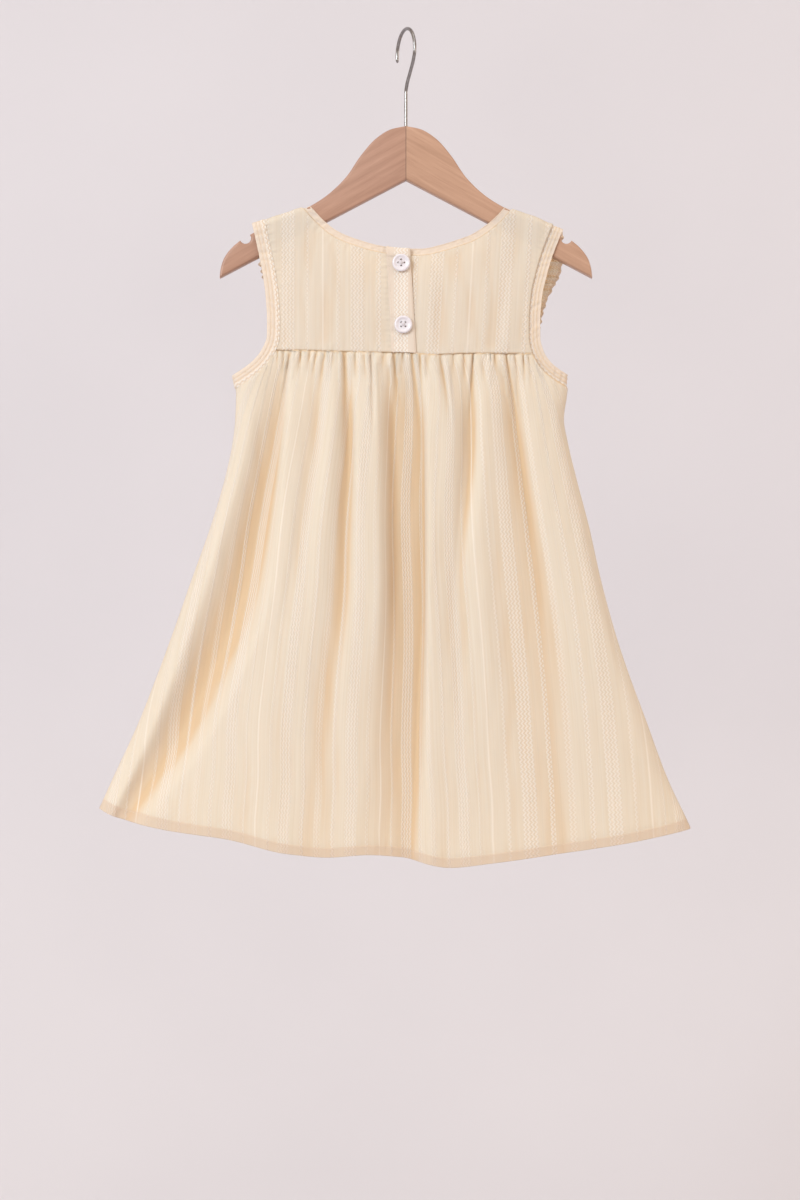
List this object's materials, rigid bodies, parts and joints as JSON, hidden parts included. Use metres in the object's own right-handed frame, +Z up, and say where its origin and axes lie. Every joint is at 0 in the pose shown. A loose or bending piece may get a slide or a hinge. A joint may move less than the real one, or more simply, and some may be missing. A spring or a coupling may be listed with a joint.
{
  "type": "child's ruffle dress on a wooden hanger",
  "caption": "Sleeveless cream cotton dress seen from its buttoned back: gathered A-line skirt, ruffles at the front armholes, hung flat on a flat wooden hanger with a steel hook.",
  "frame": {"origin": "inside of the top of the hanger's hook, where it rests on its rail", "axes": "+Z up; the buttoned back of the dress faces -Y and its front faces +Y; +X is to the right seen from the back"},
  "size_m": [0.4995, 0.0722, 0.7042],
  "materials": {
    "dobby_cotton": "thin cream cotton, woven with clusters of textured stripes",
    "doubled_cotton": "the same cotton folded double and stitched flat",
    "hanger_wood": "satin lacquered hardwood",
    "hook_steel": "plated steel wire",
    "button_shell": "cool white, slightly pearly"
  },
  "bodies": {
    "root": {"hanger_arm_left": "hanger_wood", "hanger_arm_right": "hanger_wood", "hanger_hook": "hook_steel", "back_yoke_left": "dobby_cotton", "back_yoke_right": "dobby_cotton", "back_placket": "doubled_cotton", "back_neck_band_left": "doubled_cotton", "back_neck_band_right": "doubled_cotton", "back_armhole_band_left": "doubled_cotton", "back_armhole_band_right": "doubled_cotton", "back_skirt": "dobby_cotton", "front_yoke": "dobby_cotton", "front_neck_band": "doubled_cotton", "front_armhole_band_left": "doubled_cotton", "front_armhole_band_right": "doubled_cotton", "front_skirt": "dobby_cotton", "ruffle_left": "dobby_cotton", "ruffle_right": "dobby_cotton", "button_upper": "button_shell", "button_lower": "button_shell"}
  },
  "joints": []
}
